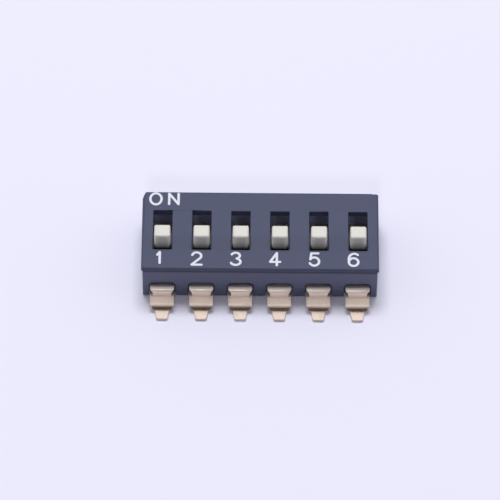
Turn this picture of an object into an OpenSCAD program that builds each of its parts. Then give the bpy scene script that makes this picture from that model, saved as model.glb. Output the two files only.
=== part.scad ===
// Six-position slide DIP switch for surface mounting, on a 2.54 mm grid.
// Millimetres. X runs along the row, +Y is the ON side, Z is up and the feet stand on Z = 0.
// The origin is the middle of the switch at board level.

/* [Row] */
// Number of switch positions
positions = 6; // [3:1:8]
// Distance from one position to the next
pitch = 2.54; // [2.3:0.01:4]
// From the centre of the last position to the end of the cover
end_margin = 1.35; // [1.25:0.01:3]

/* [Housing] */
// Width of the cover, across the row
cover_w = 6.2; // [5.4:0.05:10]
// Height of the cover's top above the board
top_z = 3.16; // [2.9:0.01:5]
// Gap between the board and the underside of the base
standoff = 0.06; // [0.03:0.01:0.3]
// Thickness of the cover plate over the cells
plate_t = 0.5; // [0.35:0.01:0.8]
// Height of the cover edge that shows above the base
lip_h = 0.26; // [0.22:0.01:0.32]
// How far the cover stands past the base on each side
overhang = 0.08; // [0:0.01:0.2]
// Thickness of the base's rim round the cover's locating rib
rim_t = 0.26; // [0.18:0.01:0.35]
// Length of the chamfer on the cover's ON corner beside the first position
key_len = 0.24; // [0.1:0.01:0.4]
// Depth of the same chamfer, across the row
key_depth = 0.54; // [0.2:0.01:0.8]
// Length of the relief on the cover's ON corner beside the last position
relief_len = 0.42; // [0.2:0.01:0.8]
// Depth of the same relief, across the row
relief_depth = 0.1; // [0.05:0.01:0.2]
// Radius of the housing's upright corners
corner_r = 0.08; // [0.03:0.01:0.15]
// Radius along the cover's upper edges
cover_edge_r = 0.16; // [0.05:0.01:0.21]
// Depth of the pocket in the base's face round each lead
pocket_depth = 0.3; // [0.15:0.01:0.4]
// Size of the pocket's two sloping corners
pocket_chamfer = 0.22; // [0.05:0.01:0.3]

/* [Locating pins] */
// Diameter of the cover's locating pins
pin_d = 0.46; // [0.3:0.01:0.6]
// Length of the locating pins
pin_len = 0.6; // [0.3:0.05:0.9]
// Distance of each pin from the middle line
pin_y = 1.45; // [0.8:0.05:2]

/* [Slider] */
// Width of the knob along the row
knob_w = 1.05; // [0.9:0.01:1.2]
// Depth of the knob across the row
knob_depth = 0.96; // [0.7:0.01:1.3]
// Height of the knob above the cover
knob_h = 0.95; // [0.2:0.01:1.5]
// Radius of the knob's upper edges
knob_edge_r = 0.15; // [0.05:0.01:0.3]
// Travel from OFF to ON
travel = 1.43; // [1:0.01:1.8]
// Width of the carrier under the cover
carrier_w = 1.56; // [1.4:0.01:1.9]
// Length of the carrier, across the row
carrier_len = 2.4; // [2.3:0.01:2.8]
// Depth of the trough between the carrier's two upper rails
trough_depth = 0.4; // [0.2:0.01:0.45]
// Width of the channel that holds the spring
channel_w = 1; // [0.95:0.01:1.2]
// Depth of the channel
channel_depth = 0.2; // [0.17:0.01:0.3]
// Diameter of the stake that holds the spring
stake_d = 0.36; // [0.25:0.01:0.45]
// Diameter of the stake's flattened head
head_d = 0.58; // [0.45:0.01:0.65]
// Thickness of the flattened head
head_t = 0.08; // [0.05:0.01:0.1]

/* [Contact spring] */
// Thickness of the spring strip
spring_t = 0.08; // [0.05:0.01:0.12]
// Width of the spring across both arms
spring_w = 0.88; // [0.7:0.01:0.94]
// Half length of the flat middle
spring_flat = 0.36; // [0.32:0.01:0.45]
// Distance from the middle of the spring to each contact nose
nose_y = 1; // [0.9:0.01:1.1]
// Inside radius of the contact nose
nose_r = 0.1; // [0.06:0.01:0.15]
// Width of the slot between the two arms
fork_gap = 0.24; // [0.15:0.01:0.35]

/* [Terminal] */
// Thickness of the terminal strip
lead_t = 0.2; // [0.15:0.01:0.24]
// Height of the strip's top where it leaves the base, level with the cell floor
exit_z = 1.21; // [1.12:0.01:1.4]
// Height of the shoulder's top, after the joggle
shoulder_z = 0.62; // [0.6:0.01:0.78]
// Width of the contact pad, and of the neck between the notches
neck_w = 1.2; // [1:0.01:1.3]
// Width where the strip leaves the base
exit_w = 1.56; // [1.4:0.01:1.7]
// Width of the shoulder
shoulder_w = 1.56; // [1.4:0.01:1.8]
// Width of the leg where it starts down
leg_w = 1.28; // [1:0.01:1.4]
// Width of the foot where it starts
foot_w = 0.92; // [0.75:0.01:1]
// Width of the foot's tip
tip_w = 0.72; // [0.4:0.01:0.75]
// Distance of the leg's outer face from the base
leg_out = 1.29; // [1.2:0.01:1.8]
// Distance of the foot's tip from the base
foot_out = 1.96; // [1.85:0.01:2.6]
// Angle of the joggle
joggle_angle = 80; // [60:1:85]
// Inside radius of the bend where the lead turns down out of the base
exit_bend_r = 0.22; // [0.1:0.01:0.3]
// Depth of the detent grooves that the noses rest in
detent_depth = 0.03; // [0.01:0.01:0.05]

/* [Fits] */
// Gap on each side of a knob in its window
window_side_gap = 0.095; // [0.03:0.005:0.15]
// Gap between a knob and the end of its window
window_end_gap = 0.35; // [0.05:0.01:0.5]
// Gap on each side of a carrier in its cell
cell_side_gap = 0.05; // [0.02:0.01:0.1]
// Gap between a carrier and the end of its cell
cell_end_gap = 0.08; // [0.03:0.01:0.2]
// Gap between a carrier and the cover
carrier_gap = 0.03; // [0.01:0.01:0.06]
// Space between a carrier and the cell floor, for the spring's arms
floor_gap = 0.37; // [0.3:0.01:0.5]
// Gap between a contact nose and the pads
nose_gap = 0.02; // [0.01:0.005:0.05]
// Gap round a part that locates another
locating_gap = 0.02; // [0.01:0.005:0.05]
// Space below each locating pin
pin_end_gap = 0.05; // [0.02:0.01:0.2]
// Gap on each side of a lead in its pocket
pocket_side_gap = 0.08; // [0.03:0.01:0.15]
// Gap above a lead in its pocket
pocket_top_gap = 0.29; // [0.1:0.01:0.5]

/* [Hidden] */
$fn = 96;
cover_len = (positions - 1) * pitch + 2 * end_margin;
base_len = cover_len - 2 * overhang;
base_w = cover_w - 2 * overhang;
face_y = base_w / 2;                 // outer face of the base, from the middle line
base_top = top_z - lip_h;            // the cover's lip rests here
plate_z = top_z - plate_t;           // underside of the cover plate, over the cells
carrier_top = plate_z - carrier_gap;
carrier_bottom = exit_z + floor_gap;
carrier_h = carrier_top - carrier_bottom;
channel_z = carrier_bottom + channel_depth;
cell_w = carrier_w + 2 * cell_side_gap;
cell_len = carrier_len + travel + 2 * cell_end_gap;
window_w = knob_w + 2 * window_side_gap;
window_len = knob_depth + travel + 2 * window_end_gap;
rail_inset = 0.01;                   // from the window's edge back to the carrier's rail
trough_w = window_w + 2 * rail_inset;
trough_z = carrier_top - trough_depth;
off_y = -travel / 2;                 // slider centre at OFF
idle_y = nose_y - travel / 2;        // rear nose at OFF, midway between the two pads
long_pad_y = 0;                      // end of the number side's pad
short_pad_y = 2 * idle_y;            // end of the ON side's pad
lead_bottom = exit_z - lead_t;
pocket_w = exit_w + 2 * pocket_side_gap;
pocket_top = exit_z + pocket_top_gap;
window_r = 0.04;                     // upright corners of the windows
core_hole_d = 0.5;                   // left by the pins that hold the strip in the mould
core_inset = 0.35;                   // from the end of the cell to the middle of that hole
detent_w = spring_w + 0.1;           // the grooves run a little past the noses
exit_taper = (exit_w - neck_w) / 2;  // run of each 45 degree taper beside the exit
neck_rise = 0.22;                    // how far the neck's notches reach up into the first bend
exit_run = 0.03;                     // straight stretch between the base and the first bend
step_run = 0.02;                     // length over which the strip steps to another width
tip_run = 0.05;                      // 45 degree chamfers at the tip of the foot
joggle_r = 0.05;                     // inside radii of the other bends of a terminal
leg_r = 0.05;
foot_r = 0.05;
carrier_chamfer = 0.15;
knob_corner_r = 0.18;
spring_angle = 42;                   // slope of the spring's arms
spring_r = 0.06;                     // inside radius where an arm leaves the flat middle
spring_tip = 0.1;                    // straight end of an arm, past its nose
eps = 0.01;

// Centre of position i, or of the rib after it when i ends in .5
function column(i) = (i - (positions + 1) / 2) * pitch;

// A rectangle with round corners, made of true arcs
module round_rect(size, r) {
    square([size[0] - 2 * r, size[1]], center = true);
    square([size[0], size[1] - 2 * r], center = true);
    for (x = [-1, 1], y = [-1, 1])
        translate([x * (size[0] / 2 - r), y * (size[1] / 2 - r)]) circle(r);
}

// A strip of sheet metal that starts at the origin and runs along +Y with its underside on Z = 0.
// Each step is [length, width at its start, width at its end, bend angle, inside radius of the bend]:
// a flat stretch, then a bend of the end width, upwards when the angle is positive.
module bent_strip(steps, t, i = 0) {
    if (i < len(steps)) {
        run = steps[i][0];
        w0 = steps[i][1] / 2;
        w1 = steps[i][2] / 2;
        turn = steps[i][3];
        centre_z = turn > 0 ? t + steps[i][4] : -steps[i][4];
        linear_extrude(t) polygon([[-w0, 0], [w0, 0], [w1, run], [-w1, run]]);
        if (turn == 0)
            translate([0, run, 0]) bent_strip(steps, t, i + 1);
        else
            translate([0, run, centre_z]) {
                bend(abs(turn), sign(turn), steps[i][4], t, 2 * w1);
                rotate([turn, 0, 0]) translate([0, 0, -centre_z]) bent_strip(steps, t, i + 1);
            }
    }
}

// The bent stretch of a strip, round the X axis through the bend's centre
module bend(angle, way, r, t, w) {
    rotate([0, 90, 0]) rotate([0, 0, way > 0 ? 0 : 180 - angle])
        rotate_extrude(angle = angle) translate([r, -w / 2]) square([t, w]);
}

// Flat part of a terminal that lies in the base, from its pad's end at pad_y to the lead pocket
function buried_steps(pad_y) = [
    [face_y - pocket_depth + pad_y - exit_taper, neck_w, neck_w, 0, 0],
    [exit_taper, neck_w, exit_w, 0, 0]];

module cover() {
    color("#383c4e") difference() {
        union() {
            cover_lip();
            translate([0, 0, plate_z]) linear_extrude(base_top - plate_z)
                square([base_len - 2 * (rim_t + locating_gap),
                        base_w - 2 * (rim_t + locating_gap)], center = true);
            for (x = [column(1.5), column(positions - 0.5)], y = [-pin_y, pin_y])
                translate([x, y, plate_z - pin_len]) cylinder(d = pin_d, h = pin_len + eps);
        }
        for (i = [1:positions])
            translate([column(i), 0, plate_z - eps])
                linear_extrude(plate_t + 2 * eps) round_rect([window_w, window_len], window_r);
    }
}

// The part of the cover that shows above the base, rounded along its upper edges
module cover_lip() {
    intersection() {
        translate([0, 0, base_top]) linear_extrude(lip_h) cover_outline();
        translate([0, cover_w / 2, base_top]) rotate([90, 0, 0])
            linear_extrude(cover_w) round_topped(cover_len, lip_h, cover_edge_r);
        translate([-cover_len / 2, 0, base_top]) rotate([90, 0, 90])
            linear_extrude(cover_len) round_topped(cover_w, lip_h, cover_edge_r);
    }
}

// Outline of the cover's lip, with its keyed ON corners
module cover_outline() {
    difference() {
        round_rect([cover_len, cover_w], corner_r);
        translate([-cover_len / 2, cover_w / 2])
            polygon([[-eps, eps], [key_len, eps], [key_len, 0], [0, -key_depth], [-eps, -key_depth]]);
        translate([cover_len / 2 - relief_len, cover_w / 2 - relief_depth])
            square([relief_len + eps, relief_depth + eps]);
    }
}

module base() {
    color("#30343f") difference() {
        translate([0, 0, standoff]) linear_extrude(base_top - standoff)
            round_rect([base_len, base_w], corner_r);
        // rebate for the cover's locating rib
        translate([0, 0, plate_z]) linear_extrude(plate_t)
            square([base_len - 2 * rim_t, base_w - 2 * rim_t], center = true);
        for (x = [column(1.5), column(positions - 0.5)], y = [-pin_y, pin_y])
            translate([x, y, plate_z - pin_len - pin_end_gap])
                cylinder(d = pin_d + 2 * locating_gap, h = pin_len + pin_end_gap + eps);
        for (i = [1:positions]) translate([column(i), 0, 0]) {
            cell();
            for (side = [0, 180]) rotate([0, 0, side]) lead_pocket();
            terminal_seat(long_pad_y, 0);
            terminal_seat(-short_pad_y, 180);
        }
    }
}

// The open space that one slider runs in, with a detent groove in the floor between the pads
module cell() {
    translate([-cell_w / 2, -cell_len / 2, exit_z]) cube([cell_w, cell_len, plate_t + plate_z - exit_z]);
    detent(idle_y);
}

// A groove across the cell floor, where a pair of contact noses comes to rest
module detent(y) {
    r = nose_r + spring_t;
    translate([0, y, exit_z + r - detent_depth]) rotate([0, 90, 0])
        cylinder(r = r, h = detent_w, center = true);
}

// Recess in the base's face round a lead, open at the bottom, with sloping upper corners
module lead_pocket() {
    translate([0, -face_y + pocket_depth, 0]) rotate([90, 0, 0]) linear_extrude(pocket_depth + eps)
        polygon([[-pocket_w / 2, 0], [pocket_w / 2, 0], [pocket_w / 2, pocket_top - pocket_chamfer],
                 [pocket_w / 2 - pocket_chamfer, pocket_top],
                 [-pocket_w / 2 + pocket_chamfer, pocket_top],
                 [-pocket_w / 2, pocket_top - pocket_chamfer]]);
}

// The space that a buried terminal fills, and the hole left by the pin that held it in the mould
module terminal_seat(pad_y, turn) {
    rotate([0, 0, turn]) {
        translate([0, pad_y, lead_bottom]) rotate([0, 0, 180])
            bent_strip(buried_steps(pad_y), lead_t);
        translate([0, core_inset - cell_len / 2, 0]) cylinder(d = core_hole_d, h = lead_bottom + eps);
    }
}

// A slider at OFF, drawn with its position's column on X = 0
module slider() {
    color("#e8e6dc") translate([0, off_y, 0]) {
        difference() {
            translate([-carrier_w / 2, 0, carrier_bottom]) rotate([90, 0, 90])
                linear_extrude(carrier_w) carrier_side();
            translate([-channel_w / 2, -carrier_len / 2 - eps, carrier_bottom - eps])
                cube([channel_w, carrier_len + 2 * eps, channel_depth + eps]);
            translate([-trough_w / 2, -carrier_len / 2 - eps, trough_z])
                cube([trough_w, carrier_len + 2 * eps, trough_depth + eps]);
        }
        knob();
        translate([0, 0, channel_z - spring_t - head_t]) {
            cylinder(d = head_d, h = head_t);
            cylinder(d = stake_d, h = head_t + spring_t + eps);
        }
    }
}

// Side view of the carrier, with its lower ends cut back over the spring's arms
module carrier_side() {
    l = carrier_len / 2;
    c = carrier_chamfer;
    polygon([[-l + c, 0], [l - c, 0], [l, c], [l, carrier_h], [-l, carrier_h], [-l, c]]);
}

// The knob, rounded along its upper edges and its upright corners
module knob() {
    foot_z = trough_z - eps;
    h = top_z + knob_h - foot_z;
    intersection() {
        translate([0, 0, foot_z]) linear_extrude(h) round_rect([knob_w, knob_depth], knob_corner_r);
        translate([0, knob_depth / 2, foot_z]) rotate([90, 0, 0])
            linear_extrude(knob_depth) round_topped(knob_w, h, knob_edge_r);
        translate([-knob_w / 2, 0, foot_z]) rotate([90, 0, 90])
            linear_extrude(knob_w) round_topped(knob_depth, h, knob_edge_r);
    }
}

// A rectangle that stands on the X axis, with its two upper corners rounded
module round_topped(w, h, r) {
    translate([-w / 2, 0]) square([w, h - r]);
    translate([-w / 2 + r, 0]) square([w - 2 * r, h]);
    for (x = [-1, 1]) translate([x * (w / 2 - r), h - r]) circle(r);
}

// A contact spring at OFF: a flat middle with the stake's hole, and a forked arm each way
module contact_spring() {
    flat_z = channel_z - spring_t;
    drop = flat_z - exit_z - nose_gap;
    mean = spring_r + spring_t / 2;
    nose_mean = nose_r + spring_t / 2;
    slope = (drop - (mean + nose_mean) * (1 - cos(spring_angle))) / sin(spring_angle);
    reach = (mean + nose_mean) * sin(spring_angle) + slope * cos(spring_angle);
    arm = [
        [nose_y - reach, spring_w, spring_w, -spring_angle, spring_r],
        [slope, spring_w, spring_w, 2 * spring_angle, nose_r],
        [spring_tip, spring_w, spring_w, 0, 0]];
    color("#c58c4e") translate([0, off_y, 0]) difference() {
        union() for (side = [0, 180]) rotate([0, 0, side]) translate([0, 0, flat_z])
            bent_strip(arm, spring_t);
        translate([0, 0, flat_z - eps]) cylinder(d = stake_d + 2 * locating_gap, h = spring_t + 2 * eps);
        for (side = [0, 180]) rotate([0, 0, side])
            translate([-fork_gap / 2, spring_flat, 0]) cube([fork_gap, carrier_len, top_z]);
    }
}

// A terminal of the number side, whose pad ends at pad_y
module terminal(pad_y) {
    exit_mean = exit_bend_r + lead_t / 2;
    joggle_mean = joggle_r + lead_t / 2;
    slope = (exit_z - shoulder_z - (exit_mean + joggle_mean) * (1 - cos(joggle_angle))) / sin(joggle_angle);
    joggle_run = (exit_mean + joggle_mean) * sin(joggle_angle) + slope * cos(joggle_angle);
    half_turn = step_run * sin(45);  // reach of a step half way through a right-angled bend
    shoulder_run = leg_out - exit_run - joggle_run - lead_t - leg_r - half_turn;
    leg_run = shoulder_z - 2 * lead_t - leg_r - foot_r - 2 * half_turn;
    foot_run = foot_out - leg_out - foot_r - half_turn;
    steps = concat(buried_steps(pad_y), [
        [pocket_depth + exit_run, exit_w, exit_w, -joggle_angle, exit_bend_r],
        [slope, exit_w, shoulder_w, joggle_angle, joggle_r],
        [shoulder_run, shoulder_w, shoulder_w, -45, leg_r],
        [step_run, leg_w, leg_w, -45, leg_r],
        [leg_run, leg_w, (leg_w + foot_w) / 2, 45, foot_r],
        [step_run, foot_w, foot_w, 45, foot_r],
        [foot_run - tip_run, foot_w, tip_w, 0, 0],
        [tip_run, tip_w, tip_w - 2 * tip_run, 0, 0]]);
    color("#d8b88c") difference() {
        translate([0, pad_y, lead_bottom]) rotate([0, 0, 180]) difference() {
            bent_strip(steps, lead_t);
            translate([0, face_y + pad_y + exit_run + exit_mean * sin(joggle_angle),
                       lead_t / 2 - exit_mean * (1 - cos(joggle_angle))])
                rotate([-joggle_angle, 0, 0]) neck_notches(slope);
        }
        for (y = [off_y - nose_y, -off_y - nose_y]) detent(y);
    }
}

// The two notches that leave the neck between them, cut square to the joggle's slope
module neck_notches(slope) {
    for (side = [0, 1]) mirror([side, 0, 0]) linear_extrude(3 * lead_t, center = true)
        polygon([[neck_w / 2, slope], [neck_w / 2, exit_taper - neck_rise],
                 [exit_w, -exit_w / 2 - neck_rise], [exit_w, slope]]);
}

cover();
base();
for (i = [1:positions]) translate([column(i), 0, 0]) {
    slider();
    contact_spring();
    terminal(long_pad_y);
    rotate([0, 0, 180]) terminal(-short_pad_y);
}
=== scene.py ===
"""Six-position slide DIP switch for surface mounting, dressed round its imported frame.

Everything is in metres, in the frame's own axes: X runs along the row of sliders, +Y is the ON side and
the feet of the leads stand on Z = 0. The sections follow the switch as it is put together.
"""
import math
import bmesh
import bpy
import numpy as np
from mathutils import Matrix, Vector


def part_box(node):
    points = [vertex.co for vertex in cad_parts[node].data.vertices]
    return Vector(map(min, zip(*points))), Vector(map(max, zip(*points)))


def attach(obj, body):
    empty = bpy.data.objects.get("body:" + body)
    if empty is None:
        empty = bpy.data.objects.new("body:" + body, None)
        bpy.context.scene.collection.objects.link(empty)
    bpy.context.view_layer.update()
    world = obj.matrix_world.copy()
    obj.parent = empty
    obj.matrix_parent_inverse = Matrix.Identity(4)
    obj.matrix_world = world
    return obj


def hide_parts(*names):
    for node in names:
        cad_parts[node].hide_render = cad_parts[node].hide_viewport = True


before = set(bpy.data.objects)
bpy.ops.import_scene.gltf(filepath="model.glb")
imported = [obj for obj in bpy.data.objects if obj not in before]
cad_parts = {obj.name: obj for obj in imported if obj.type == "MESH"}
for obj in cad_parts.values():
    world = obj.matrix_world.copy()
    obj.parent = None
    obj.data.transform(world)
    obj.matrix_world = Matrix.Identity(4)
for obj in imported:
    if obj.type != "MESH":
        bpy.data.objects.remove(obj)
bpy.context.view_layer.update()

# ---------------------------------------------------------------------------------------------
# Camera. It looks down on the numbered side from a little over half way up, as on a copy stand,
# and from far enough away that the switch's sides stay almost parallel.

mm = 0.001
aim = np.array([-0.66, 0.457, 0.325]) * mm
camera_rise = math.radians(54.6)
camera_roll = math.radians(0.5)
camera_distance = 0.3
camera_lens, film_width = 329.4, 36      # both in millimetres
camera_near = 0.01

camera = bpy.data.objects.new("camera", bpy.data.cameras.new("camera"))
bpy.context.collection.objects.link(camera)
camera.data.lens = camera_lens
camera.data.sensor_width = film_width
camera.data.clip_start = camera_near
from_aim = camera_distance * np.array([0, -math.cos(camera_rise), math.sin(camera_rise)])
camera.matrix_world = (Matrix.Translation(aim + from_aim)
                       @ Matrix.Rotation(math.pi / 2 - camera_rise, 4, "X")
                       @ Matrix.Rotation(camera_roll, 4, "Z"))
bpy.context.scene.camera = camera
bpy.context.scene.view_settings.view_transform = "Standard"

# ---------------------------------------------------------------------------------------------
# Floor and light. A sheet of smooth pale card lies under the switch. A wide soft lamp hangs above
# and behind it, with a weak soft box overhead and a small weak lamp on the viewer's side. The room
# is bright behind the switch and at its two sides, and dark where the viewer stands.

card_colour = (0.80, 0.79, 0.93, 1)
card_half = 1.2
card_top = -0.01 * mm                    # just clear of the feet
near_lamp_place = (-0.03, -0.46, 0.39)
room_colour = (0.95, 0.96, 1, 1)
rear_light, viewer_light = 0.47, 0.01    # of the room behind the switch, and where the viewer stands
side_light = 0.42                        # what the bright walls on both sides add
dusk = 0.5                               # how far round to the viewer the rear light reaches


class Socket:
    """An output of a node. Arithmetic on it adds Math nodes, and gives the output of the last one."""

    def __init__(self, nodes, output):
        self.nodes = nodes
        self.output = output

    def math(self, operation, *values):
        return self.nodes.node("Math", dict(operation=operation), dict(enumerate(values)))

    def __add__(self, other):
        return self.math("ADD", self, other)

    def __sub__(self, other):
        return self.math("SUBTRACT", self, other)

    def __rsub__(self, other):
        return self.math("SUBTRACT", other, self)

    def __mul__(self, other):
        return self.math("MULTIPLY", self, other)

    def __truediv__(self, other):
        return self.math("DIVIDE", self, other)

    def __rtruediv__(self, other):
        return self.math("DIVIDE", other, self)

    __radd__ = __add__
    __rmul__ = __mul__

    def absolute(self):
        return self.math("ABSOLUTE", self)

    def fraction(self):
        return self.math("FRACT", self)

    def clamped(self):
        return self.math("MINIMUM", self.math("MAXIMUM", self, 0.0), 1.0)

    def rise(self, start, end):
        """0 at start and before it, 1 at end and beyond, even between. It falls where end is the lower."""
        return ((self - start) / (end - start)).clamped()

    def band(self, start, full, thin, end):
        """Rises from 0 at start to 1 at full, and falls from 1 at thin to 0 at end."""
        return self.rise(start, full) * self.rise(end, thin)


class Nodes:
    """The nodes of a material or of the room, added one at a time round the shader that is there."""

    def __init__(self, owner, shader, place):
        owner.use_nodes = True
        self.tree = owner.node_tree
        self.shader = self.tree.nodes[shader]
        self.place = self.node("TexCoord", output=place)

    def node(self, kind, settings={}, inputs={}, output=0):
        """Adds a node: its type, then its settings, then the values or links of its sockets."""
        made = self.tree.nodes.new("ShaderNode" + kind)
        for key, value in settings.items():
            setattr(made, key, value)
        self.feed(made, inputs)
        return Socket(self, made.outputs[output])

    def feed(self, node, inputs):
        for key, value in inputs.items():
            if isinstance(value, Socket):
                self.tree.links.new(value.output, node.inputs[key])
            else:
                node.inputs[key].default_value = value

    def axis(self, name):
        """The place along X, Y or Z."""
        return self.node("SeparateXYZ", {}, {0: self.place}, name)


class Finish(Nodes):
    """A material on a piece, with the patterns that its finish is mixed from."""

    def __init__(self, name):
        self.material = bpy.data.materials.new(name)
        super().__init__(self.material, "Principled BSDF", "Object")

    def noise(self, size, stretch=(1, 1, 1), detail=3.0):
        """Clouds from 0 to 1 in patches of about that size, longer along an axis by its stretch."""
        place = self.node("Mapping", {}, {"Vector": self.place, "Scale": [1 / (size * s) for s in stretch]})
        return self.node("TexNoise", {}, {"Vector": place, "Scale": 1.0, "Detail": detail}, "Fac")

    def blend(self, amount, colour_a, colour_b):
        """A colour between the two, which may themselves be sockets."""
        return self.node("Mix", dict(data_type="RGBA"), {0: amount, 6: colour_a, 7: colour_b}, 2)

    def bump(self, height, depth, strength):
        """Feeds a relief of that depth, in metres, to the shader's normal."""
        normal = self.node("Bump", {}, {"Height": height, "Distance": depth, "Strength": strength})
        self.feed(self.shader, {"Normal": normal})


def hang_lamp(name, outline, length, width, power, place, tilt=0.0):
    """An area lamp that shines straight down, or is tilted about X to shine away from the viewer too."""
    lamp = bpy.data.objects.new(name, bpy.data.lights.new(name, "AREA"))
    lamp.data.shape = outline
    lamp.data.size, lamp.data.size_y = length, width
    lamp.data.energy = power
    lamp.location = place
    lamp.rotation_euler = (tilt, 0, 0)
    bpy.context.collection.objects.link(lamp)


card = Finish("pale card")
card.feed(card.shader, {"Base Color": card_colour, "Roughness": 0.9, "Specular IOR Level": 0.2})
floor_mesh = bpy.data.meshes.new("floor")
corners = [(x * card_half, y * card_half, card_top) for x, y in ((-1, -1), (1, -1), (1, 1), (-1, 1))]
floor_mesh.from_pydata(corners, [], [(0, 1, 2, 3)])
floor_mesh.materials.append(card.material)
floor = bpy.data.objects.new("floor", floor_mesh)
bpy.context.collection.objects.link(floor)

hang_lamp("soft lamp", "RECTANGLE", length=0.3, width=0.24, power=2.86, place=(-0.02, 0.22, 0.62))
hang_lamp("soft box", "DISK", length=0.37, width=0.37, power=0.10, place=(-0.02, -0.15, 0.62))
hang_lamp("near lamp", "DISK", length=0.09, width=0.09, power=0.40, place=near_lamp_place,
          tilt=math.atan2(-near_lamp_place[1], near_lamp_place[2]))

room = bpy.data.worlds.new("room")
walls = Nodes(room, "Background", "Generated")
sideways = walls.axis("X")
from_rear = walls.axis("Y").rise(-dusk, 0.0)
walls.feed(walls.shader, {
    "Color": room_colour,
    "Strength": viewer_light + (rear_light - viewer_light) * from_rear + side_light * (sideways * sideways)})
bpy.context.scene.world = room

# ---------------------------------------------------------------------------------------------
# Terminals. Twelve leads are stamped from copper alloy strip, bent in the tool and plated with a
# thin, pale gold. Their pads lie in the cell floors, and the base is moulded round them. The first
# bend is painted a lighter gold, a painted highlight, and the bend above each foot dark brown, painted
# shade.

positions = 6
pitch = 2.54 * mm
base_low, base_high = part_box("base")
lead_low, lead_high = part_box("terminal_1")
face_y = base_high.y                     # outer face of the base
pad_top = lead_high.z                    # level with the cell floor
lead_t = 0.2 * mm
shoulder_z = 0.62 * mm
neck_w, exit_w, shoulder_w = 1.2 * mm, 1.56 * mm, 1.56 * mm
leg_w, foot_w, tip_w = 1.28 * mm, 0.92 * mm, 0.72 * mm
leg_out = 1.29 * mm
foot_out = -lead_low.y - face_y
joggle = math.radians(80)
eighth = math.pi / 4
exit_bend_r, joggle_r, leg_r, foot_r = 0.22 * mm, 0.05 * mm, 0.05 * mm, 0.05 * mm
neck_rise = 0.22 * mm                    # how far the neck's notches reach up into the first bend
pocket_depth = 0.3 * mm
exit_run, step_run, tip_run = 0.03 * mm, 0.02 * mm, 0.05 * mm
path_step, arc_steps, end_steps = 0.03 * mm, 14, 3
touching = 1e-8                          # points this near to each other are one
same_width = 1e-9
crease = math.radians(38)                # faces that meet at more than this keep a sharp edge
stamped_edge = 0.025 * mm                # rounding left by the stamping tool at the strip's ends
strip_corner = 0.020 * mm                # and along its sides
travel = 1.43 * mm
nose_y = 1.0 * mm
groove_r, groove_depth = 0.18 * mm, 0.03 * mm
gold = (0.74, 0.64, 0.565, 1)
gold_shade = (0.64, 0.54, 0.465, 1)
# painted highlight: a lighter gold painted on the first bend
painted_highlight_gold = (0.98, 0.86, 0.77, 1)
# painted shade: dark brown painted inside the bend above each foot
painted_leg_shade = (0.17, 0.10, 0.075, 1)
gold_clouds = 0.45, 0.85                 # levels of the clouds between which the gold turns to its shade
painted_highlight_out = -0.08 * mm, 0.07 * mm, 0.65 * mm, 0.95 * mm   # out from the base's face
# where the painted shade above each foot lies: heights, then distances out from the base's face
painted_leg_shade_z = 0.22 * mm, 0.27 * mm, 0.48 * mm, 0.58 * mm
painted_leg_shade_out = leg_out - 0.20 * mm, leg_out - 0.15 * mm
rubbed_z = shoulder_z + 0.04 * mm, shoulder_z + 0.12 * mm     # above this the plating is smoother
most_change = 0.9                        # share of the full painted highlight, and of the full painted shade
roll_mark, roll_stretch = 0.03 * mm, (1, 40, 40)              # lines left by the rolling mill
gold_cloud, gold_grain = 0.5 * mm, 0.05 * mm
plated_rough, rubbed_rough, marked_rough = 0.64, 0.38, 0.06


def column(i):
    """X of position i, counted from 1."""
    return (i - (positions + 1) / 2) * pitch


def bent_path(stretches, thickness):
    """Mid-line of a bent strip, whose stretches are (length, start width, end width, turn, inside radius).

    A straight run is followed by an arc whose radius is the inside radius plus half the thickness. Where a
    stretch starts at another width than the last one ends, the station is doubled. Gives the distance out,
    the height, the heading and the width at every station."""
    out, up, heading, width = [np.zeros(1)], [np.zeros(1)], [np.zeros(1)], [np.array([stretches[0][1]])]
    for length, start_w, end_w, turn, inside in stretches:
        here = heading[-1][-1]
        stepped = abs(start_w - width[-1][-1]) > same_width
        share = np.linspace(0, 1, max(2, int(length / path_step)))[0 if stepped else 1:]
        run = length * share
        out.append(out[-1][-1] + run * math.cos(here))
        up.append(up[-1][-1] + run * math.sin(here))
        heading.append(np.full(run.size, here))
        width.append(start_w + (end_w - start_w) * share)
        if turn:
            angle = here + turn * np.linspace(0, 1, arc_steps + 1)[1:]
            radius = (inside + thickness / 2) * np.sign(turn)
            out.append(out[-1][-1] + radius * (np.sin(angle) - math.sin(here)))
            up.append(up[-1][-1] - radius * (np.cos(angle) - math.cos(here)))
            heading.append(angle)
            width.append(np.full(angle.size, end_w))
    return [np.concatenate(part) for part in (out, up, heading, width)]


def rounded_ring(half_width, half_height, radius, steps=4):
    """Ring of a rectangle with round corners: each corner's centre, plus its radius times the cosine and
    sine of a quarter turn.

    The three sizes are arrays over the stations, and the ring runs along the last axis."""
    turn = np.concatenate([np.linspace(k, k + 1, steps + 1) for k in range(4)]) * math.pi / 2
    diagonal = turn.reshape(4, -1).mean(1)
    right = np.sign(np.cos(diagonal)).repeat(steps + 1)
    upper = np.sign(np.sin(diagonal)).repeat(steps + 1)
    across = (half_width - radius)[:, None] * right + radius[:, None] * np.cos(turn)
    through = (half_height - radius)[:, None] * upper + radius[:, None] * np.sin(turn)
    return across, through


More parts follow.
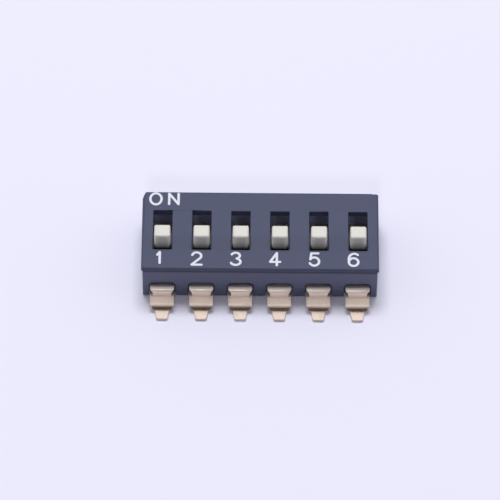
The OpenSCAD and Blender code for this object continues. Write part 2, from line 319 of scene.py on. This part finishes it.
def closed_loft(name, rings):
    """Mesh of a stack of rings, given as an array (stations, points, 3): quads join each ring to the next,
    and a flat cap closes each end."""
    stations, points, _ = rings.shape
    first = np.arange(stations - 1)[:, None] * points + np.arange(points)
    second = np.arange(stations - 1)[:, None] * points + (np.arange(points) + 1) % points
    quads = np.stack([first, second, second + points, first + points], axis=-1).reshape(-1, 4)
    caps = [list(range(points)), list(range((stations - 1) * points, stations * points))]
    mesh = bpy.data.meshes.new(name)
    mesh.from_pydata(rings.reshape(-1, 3).tolist(), [], quads.tolist() + caps)
    shape = bmesh.new()
    shape.from_mesh(mesh)
    bmesh.ops.remove_doubles(shape, verts=shape.verts, dist=touching)
    bmesh.ops.recalc_face_normals(shape, faces=shape.faces)
    shape.to_mesh(mesh)
    shape.free()
    mesh.shade_smooth()
    mesh.set_sharp_from_angle(angle=crease)
    return mesh


def add_piece(name, mesh, material, body, slot, *nodes):
    """Puts a mesh in the scene as a finished piece that rides on a body and stands for those nodes."""
    piece = bpy.data.objects.new(name, mesh)
    bpy.context.collection.objects.link(piece)
    mesh.materials.clear()
    mesh.materials.append(material)
    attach(piece, body)
    if nodes:
        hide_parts(*nodes)
    return piece


# The stretches' lengths follow from where the pad, the shoulder, the leg and the foot have to lie.
pad_start = {-1: 0.0, 1: 2 * nose_y - travel}    # at OFF the contact's noses stay short of the ON side's pad
exit_taper = (exit_w - neck_w) / 2
exit_mean, joggle_mean = exit_bend_r + lead_t / 2, joggle_r + lead_t / 2
both_means = exit_mean + joggle_mean
neck_run = (pad_top - shoulder_z - both_means * (1 - math.cos(joggle))) / math.sin(joggle)
joggle_run = both_means * math.sin(joggle) + neck_run * math.cos(joggle)
chamfer = step_run * math.sin(eighth)
shoulder_run = leg_out - exit_run - joggle_run - lead_t - leg_r - chamfer
leg_run = shoulder_z - 2 * lead_t - leg_r - foot_r - 2 * chamfer
foot_run = foot_out - leg_out - foot_r - chamfer


def lead_stretches(side):
    """The strip's stretches from the inner end of its pad to the tip of its foot."""
    return [
        (face_y - pocket_depth - pad_start[side] - exit_taper, neck_w, neck_w, 0, 0),
        (exit_taper, neck_w, exit_w, 0, 0),
        (pocket_depth + exit_run, exit_w, exit_w, -joggle, exit_bend_r),
        (neck_run, neck_w, neck_w, 0, 0),
        (0, shoulder_w, shoulder_w, joggle, joggle_r),
        (shoulder_run, shoulder_w, shoulder_w, -eighth, leg_r),
        (step_run, leg_w, leg_w, -eighth, leg_r),
        (leg_run, leg_w, (leg_w + foot_w) / 2, eighth, foot_r),
        (step_run, foot_w, foot_w, eighth, foot_r),
        (foot_run - tip_run, foot_w, tip_w, 0, 0),
        (tip_run, tip_w, tip_w - 2 * tip_run, 0, 0)]


def lead_strip(name, side, x):
    """A flat strip bent along its path: at each station a rounded rectangle, as wide as the strip is there,
    stands square to the path. The neck's notches narrow the first bend at 45 degrees, the grooves lower the
    pad's upper side by an arc's depth, and at both ends the rectangle shrinks as a quarter circle does.
    side is -1 for the numbered side and 1 for the ON side."""
    out, up, heading, width = bent_path(lead_stretches(side), lead_t)
    first_bend = slice(0, np.argmax(np.isclose(heading, -joggle)) + 1)
    above_notch = exit_mean * np.sin(joggle + heading[first_bend]) - (neck_rise - exit_taper)
    width[first_bend] = np.minimum(width[first_bend], neck_w + 2 * np.maximum(above_notch, 0))
    out = out + pad_start[side]
    turn = np.linspace(0, math.pi / 2, end_steps + 1)
    reach, shrink = stamped_edge * np.sin(turn), stamped_edge * (1 - np.cos(turn))
    out = np.concatenate([out[0] + stamped_edge - reach[::-1], out[1:-1], out[-1] - stamped_edge + reach])
    up, heading, width = [np.pad(part, end_steps, mode="edge") for part in (up, heading, width)]
    inset = np.concatenate([shrink[::-1], np.zeros(out.size - 2 * turn.size), shrink])
    across, through = rounded_ring(width / 2 - inset, lead_t / 2 - inset, np.full(out.size, strip_corner))
    sink = np.zeros(out.size)
    for place in (nose_y - travel / 2, nose_y + travel / 2):
        away = np.minimum(abs(out - place), groove_r)
        groove = np.sqrt(groove_r ** 2 - away ** 2) - (groove_r - groove_depth)
        sink = np.maximum(sink, np.where(place > pad_start[side], groove, 0))
    through = through - np.where(through > 0, sink[:, None], 0)
    y = out[:, None] - through * np.sin(heading)[:, None]
    z = up[:, None] + through * np.cos(heading)[:, None] + pad_top - lead_t / 2
    return closed_loft(name, np.stack([x + across, side * y, z], axis=-1))


plating = Finish("pale gold plating")
rolled = plating.noise(roll_mark, roll_stretch)
cloud = plating.noise(gold_cloud)
grain = plating.noise(gold_grain)
level = plating.axis("Z")
outward = plating.axis("Y").absolute() - face_y
# painted shade inside the bend above each foot
painted_leg_shade_mask = level.band(*painted_leg_shade_z) * outward.rise(*painted_leg_shade_out)
plated = plating.blend(cloud.rise(*gold_clouds), gold, gold_shade)
# painted highlight on the first bend, out from the base's face
gold_with_painted_highlight = plating.blend(most_change * outward.band(*painted_highlight_out), plated, painted_highlight_gold)
plating.feed(plating.shader, {
    "Base Color": plating.blend(most_change * painted_leg_shade_mask, gold_with_painted_highlight, painted_leg_shade),
    "Metallic": 1.0,
    "Roughness": (plated_rough - (plated_rough - rubbed_rough) * level.rise(*rubbed_z)
                  + marked_rough * (rolled + grain))})
plating.bump(0.7 * rolled + 0.3 * grain, depth=0.002 * mm, strength=0.5)

for i in range(1, positions + 1):
    for side, number in ((-1, i), (1, i + positions)):
        add_piece(f"lead_{number}", lead_strip(f"lead_{number}", side, column(i)), plating.material,
                  "housing", "terminal", f"terminal_{number}")

# ---------------------------------------------------------------------------------------------
# Base. A tray moulded in dark, glass-filled resin: six open cells, the ribs between them and a
# pocket round each lead. Its skin has the fine matt grain of an eroded mould. The resin inside the
# cells is painted paler, as painted light, and a dark band painted under the cover's rim is the parting gap
# there and painted shade.

base_colour = (0.108, 0.120, 0.200, 1)
base_shade = (0.090, 0.100, 0.170, 1)
base_edge = 0.035 * mm
skin = 0.004 * mm                        # an edge this near a face counts as on it
# painted shade: a dark band just under the cover's rim, over the parting gap there
rim_gap_and_shade_z, rim_gap_and_shade_half = 2.77 * mm, 0.20 * mm
rim_gap_and_shade_colour = (0.010, 0.011, 0.020, 1)
# painted light: the resin inside the cells is painted paler
cells_painted_light_colour = (0.42, 0.46, 0.66, 1)
cells_x, cells_y = base_high.x - 0.4 * mm, face_y - 0.9 * mm
cells_z = pad_top - 0.2 * mm
cells_fade = 0.1 * mm
flat_within = math.radians(0.5)
moulded_crease, edge_steps = math.radians(35), 3
cloud_size, grain_size = 0.9 * mm, 0.045 * mm
cloud_share, grain_share = 0.6, 0.4      # in the resin's mottling
grain_rough, grain_relief = 0.12, 0.6


def merged_copy(node):
    """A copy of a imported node's mesh, with its loose triangles joined into flat faces."""
    shape = bmesh.new()
    shape.from_mesh(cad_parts[node].data)
    bmesh.ops.remove_doubles(shape, verts=shape.verts, dist=touching)
    bmesh.ops.dissolve_limit(shape, angle_limit=flat_within, verts=shape.verts, edges=shape.edges)
    mesh = bpy.data.meshes.new(node)
    shape.to_mesh(mesh)
    shape.free()
    return mesh


def soften(piece, width, chosen=lambda x, y, z: True):
    """Rounds the piece's sharp edges whose middles are chosen, as a mould or a tumbling drum leaves them.

    The sum of the two unit normals beside an edge is twice the cosine of half their angle, so an edge is
    sharp where that sum is short."""
    mesh = piece.data
    points, ends = np.empty(len(mesh.vertices) * 3), np.empty(len(mesh.edges) * 2, int)
    normals, sides = np.empty(len(mesh.polygons) * 3), np.empty(len(mesh.polygons), int)
    edge_of = np.empty(len(mesh.loops), int)
    mesh.vertices.foreach_get("co", points)
    mesh.edges.foreach_get("vertices", ends)
    mesh.polygons.foreach_get("normal", normals)
    mesh.polygons.foreach_get("loop_total", sides)
    mesh.loops.foreach_get("edge_index", edge_of)
    both = np.zeros((len(mesh.edges), 3))
    np.add.at(both, edge_of, normals.reshape(-1, 3).repeat(sides, axis=0))
    sharp = np.linalg.norm(both, axis=1) < 2 * math.cos(moulded_crease / 2)
    middle = points.reshape(-1, 3)[ends.reshape(-1, 2)].mean(1)
    weight = (sharp & chosen(*middle.T)).astype(np.float32)
    mesh.attributes.new("bevel_weight_edge", "FLOAT", "EDGE").data.foreach_set("value", weight)
    mesh.shade_smooth()
    mesh.set_sharp_from_angle(angle=moulded_crease)
    bevel = piece.modifiers.new("soft edges", "BEVEL")
    bevel.limit_method = "WEIGHT"
    bevel.width = width
    bevel.segments = edge_steps
    bevel.use_clamp_overlap = False
    weighted = piece.modifiers.new("flat faces", "WEIGHTED_NORMAL")
    weighted.keep_sharp = True


def moulded(name, colour, shade, grain_depth, roughness, gloss=0.5):
    """A moulded resin and its mottled colour: clouds between two shades, and the grain of an eroded mould
    as roughness and relief."""
    resin = Finish(name)
    clouds = resin.noise(cloud_size, detail=2.0)
    grain = resin.noise(grain_size, detail=2.0)
    mottled = resin.blend((cloud_share * clouds + grain_share * grain).clamped(), colour, shade)
    resin.feed(resin.shader, {
        "Base Color": mottled,
        "Roughness": roughness + grain_rough * grain,
        "Specular IOR Level": gloss})
    resin.bump(grain, grain_depth, grain_relief)
    return resin, mottled


dark_resin, mottled = moulded("dark resin", base_colour, base_shade, grain_depth=0.006 * mm, roughness=0.52)
level = dark_resin.axis("Z")
# the dark band under the cover's rim: parting gap and painted shade
rim_gap_and_shade = level.band(rim_gap_and_shade_z - rim_gap_and_shade_half, rim_gap_and_shade_z, rim_gap_and_shade_z, rim_gap_and_shade_z + rim_gap_and_shade_half)
# painted light: the paler colour painted inside the cells
painted_light_in_cells = (dark_resin.axis("X").absolute().rise(cells_x, cells_x - cells_fade)
            * dark_resin.axis("Y").absolute().rise(cells_y, cells_y - cells_fade)
            * level.rise(cells_z, cells_z + cells_fade))
outside = dark_resin.blend(rim_gap_and_shade, mottled, rim_gap_and_shade_colour)
dark_resin.feed(dark_resin.shader, {"Base Color": dark_resin.blend(painted_light_in_cells, outside, cells_painted_light_colour)})

base = add_piece("base_moulding", merged_copy("base"), dark_resin.material, "housing", "base", "base")
soften(base, base_edge, lambda x, y, z: ((abs(y) > face_y - skin) | (abs(x) > base_high.x - skin)
                                         | (z < base_low.z + skin) | (z > base_high.z - skin)))

# ---------------------------------------------------------------------------------------------
# Contact springs. Each is stamped from phosphor bronze, forked at both ends, bent to a bridge and
# staked under its slider. They stay as packed, and only their finish is set here.

bronze_colour = (0.70, 0.42, 0.22, 1)
bronze_shade = (0.60, 0.34, 0.17, 1)
bronze_rough, rolled_rough = 0.28, 0.15

bronze = Finish("phosphor bronze")
rolled = bronze.noise(roll_mark, roll_stretch)
bronze.feed(bronze.shader, {
    "Base Color": bronze.blend(rolled, bronze_colour, bronze_shade),
    "Metallic": 1.0,
    "Roughness": bronze_rough + rolled_rough * rolled})
for i in range(1, positions + 1):
    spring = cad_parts[f"contact_spring_{i}"]
    spring.data.materials.clear()
    spring.data.materials.append(bronze.material)

# ---------------------------------------------------------------------------------------------
# Sliders. Off-white mouldings: a knob with well rounded edges stands on a carrier that runs in its
# cell, and whose channel and stake hold the contact spring. The knob's flanks are painted darker as
# painted shade, its upright corners lighter as a painted highlight, and below the cover the carrier is
# painted dark as painted shade.

knob_colour = (0.68, 0.665, 0.615, 1)
knob_shade = (0.64, 0.625, 0.57, 1)
# painted shade on the knob's flanks
painted_flank_shade_colour = (0.59, 0.575, 0.535, 1)
# painted highlight on the knob's upright corners
painted_corner_highlight_colour = (0.80, 0.785, 0.735, 1)
# painted shade: the carrier's colour below the cover
painted_carrier_shade = (0.03, 0.03, 0.04, 1)
painted_flank_shade_z = 4.03 * mm, 3.95 * mm           # the flanks' painted shade starts and is full at these heights
painted_corner_highlight_out = 0.08, 0.20                  # and the corners' painted highlight here, in pitches from the knob's middle
painted_carrier_shade_z = 3.1 * mm, 2.7 * mm           # the off-white fades into the carrier's painted shade between these heights
slider_edge = 0.025 * mm

ivory, mottled = moulded("off-white resin", knob_colour, knob_shade, grain_depth=0.004 * mm, roughness=0.42)
level = ivory.axis("Z")
from_middle = ((ivory.axis("X") / pitch).fraction() - 0.5).absolute()
# painted highlight: the knob's upright corners lighter
painted_flank_shade_and_highlight = ivory.blend(from_middle.rise(*painted_corner_highlight_out), painted_flank_shade_colour, painted_corner_highlight_colour)
# painted shade: the knob's flanks darker than its top
knob = ivory.blend(level.rise(*painted_flank_shade_z), mottled, painted_flank_shade_and_highlight)
# painted shade: the carrier dark below the cover
ivory.feed(ivory.shader, {"Base Color": ivory.blend(level.rise(*painted_carrier_shade_z), knob, painted_carrier_shade)})
for i in range(1, positions + 1):
    slider = add_piece(f"slider_moulding_{i}", merged_copy(f"slider_{i}"), ivory.material,
                       f"slider_{i}", "slider", f"slider_{i}")
    soften(slider, slider_edge)

# ---------------------------------------------------------------------------------------------
# Cover. A moulded plate in the same dark resin, pressed onto the base by four pins. Its edge stands
# a little past the base, and six windows let the knobs through.

cover_colour = (0.063, 0.072, 0.134, 1)
cover_shade = (0.053, 0.060, 0.112, 1)
cover_edge = 0.04 * mm
cover_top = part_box("cover")[1].z

satin_resin, _ = moulded("dark satin resin", cover_colour, cover_shade,
                         grain_depth=0.006 * mm, roughness=0.5, gloss=0.3)
cover = add_piece("cover_moulding", merged_copy("cover"), satin_resin.material, "housing", "cover", "cover")
soften(cover, cover_edge, lambda x, y, z: ((z > cover_top - skin) | (abs(y) > face_y + skin)
                                           | (abs(x) > base_high.x + skin)))

# ---------------------------------------------------------------------------------------------
# Print. ON and the numbers 1 to 6 are pad-printed on the cover in white ink, a hundredth of a
# millimetre thick, with the soft corners that such small print has.

ink_t = 0.008 * mm
stroke = 0.16 * mm
ink_cell = 0.02 * mm
rim_passes, rim_nudge = 3, 0.2 * ink_cell
ink_colour = (0.75, 0.76, 0.85, 1)
ink_thin = (0.62, 0.63, 0.73, 1)
speckle_size = 0.06 * mm
ink_rough, speckle_rough = 0.5, 0.1


def arc(x, y, rx, ry, start, end, steps=24):
    """Points on an ellipse about (x, y), from one angle to the other in degrees."""
    angle = np.radians(np.linspace(start, end, steps))
    return np.stack([x + rx * np.cos(angle), y + ry * np.sin(angle)], axis=1)


# Lines through the middle of each stroke, in a box from -1 to 1 both ways.
glyphs = {
    "1": [[(-0.5, 0.5), (-0.05, 1.0), (0.0, 1.0), (0.0, -1.0)]],
    "2": [np.concatenate([arc(0, 0.42, 0.92, 0.58, 165, -35), [(-1.0, -1.0), (1.0, -1.0)]])],
    "3": [np.concatenate([arc(-0.05, 0.52, 0.85, 0.48, 155, -75), arc(-0.05, -0.48, 0.98, 0.52, 75, -160)])],
    "4": [[(0.35, -1.0), (0.35, 1.0), (-1.0, -0.45), (1.0, -0.45)]],
    "5": [np.concatenate([[(0.8, 1.0), (-0.6, 1.0), (-0.8, 0.02)],
                          arc(-0.02, -0.33, 0.98, 0.67, 135, -155)])],
    "6": [np.concatenate([arc(0.15, 0.1, 1.1, 0.9, 50, 180), arc(0, -0.37, 0.95, 0.63, 180, 540, 48)])],
    "O": [arc(0, 0, 1, 1, 0, 360, 64)],
    "N": [[(-1, -1), (-1, 1), (1, -1), (1, 1)]],
}


def stroke_distance(points, lines):
    """Distance of each point from the nearest of the lines' segments: the point's reach along a segment,
    held between its ends, gives the nearest place on it."""
    best = np.full(len(points), np.inf)
    for line in lines:
        line = np.asarray(line, float)
        start, along = line[:-1], np.diff(line, axis=0)
        reach = points[:, None] - start
        share = np.clip((reach * along).sum(-1) / np.maximum((along ** 2).sum(-1), 1e-18), 0, 1)
        best = np.minimum(best, np.linalg.norm(reach - share[..., None] * along, axis=-1).min(1))
    return best


def ink_film(name, lines, centre, size):
    """A film of ink: the squares of a fine grid whose middles lie within half a stroke of the lines, with
    every point on the film's rim moved along the distance's slope until it is just half a stroke away."""
    lines = [np.asarray(line) * (size - stroke) / 2 for line in lines]
    count = np.ceil((size / 2 + 2 * ink_cell) / ink_cell).astype(int)
    x, y = np.meshgrid(np.arange(-count[0], count[0] + 1) * ink_cell,
                       np.arange(-count[1], count[1] + 1) * ink_cell, indexing="ij")
    points = np.stack([x, y], axis=-1).reshape(-1, 2)
    rows, columns = x.shape
    corner = (np.arange(rows - 1)[:, None] * columns + np.arange(columns - 1)).ravel()
    quads = np.stack([corner, corner + columns, corner + columns + 1, corner + 1], axis=1)
    quads = quads[stroke_distance(points[quads].mean(1), lines) < stroke / 2]
    used, times = np.unique(quads, return_counts=True)
    rim = used[times < 4]
    for _ in range(rim_passes):
        here = points[rim]
        beyond = stroke_distance(here, lines) - stroke / 2
        slope = np.stack([stroke_distance(here + step, lines) - stroke_distance(here - step, lines)
                          for step in rim_nudge * np.eye(2)], axis=1)
        slope /= np.maximum(np.linalg.norm(slope, axis=1, keepdims=True), 1e-12)
        points[rim] -= beyond[:, None] * slope
    number = np.zeros(len(points), int)
    number[used] = np.arange(used.size)
    flat = np.column_stack([points[used] + centre, np.full(used.size, cover_top)])
    mesh = bpy.data.meshes.new(name)
    mesh.from_pydata(flat.tolist(), [], number[quads].tolist())
    return mesh


ink = Finish("white ink")
speckle = ink.noise(speckle_size)
ink.feed(ink.shader, {
    "Base Color": ink.blend(speckle, ink_colour, ink_thin),
    "Roughness": ink_rough + speckle_rough * speckle})

# Each mark's glyph, the place of its middle, and its width and height. The numbers stand a little to
# the left of their knobs.
marks = {"print_1": ("1", (column(1) - 0.15 * mm, -2.215 * mm), (0.80 * mm, 1.02 * mm))}
for i in range(2, positions + 1):
    marks[f"print_{i}"] = (str(i), (column(i) - 0.3 * mm, -2.27 * mm), (0.80 * mm, 1.13 * mm))
marks["print_O"] = ("O", (-6.83 * mm, 2.475 * mm), (0.89 * mm, 1.05 * mm))
marks["print_N"] = ("N", (-5.66 * mm, 2.48 * mm), (0.77 * mm, 1.00 * mm))
for name, (glyph, centre, size) in marks.items():
    film = add_piece(name, ink_film(name, glyphs[glyph], centre, np.array(size)), ink.material,
                     "housing", "cover")
    thick = film.modifiers.new("ink", "SOLIDIFY")
    thick.thickness = ink_t
    thick.offset = 1
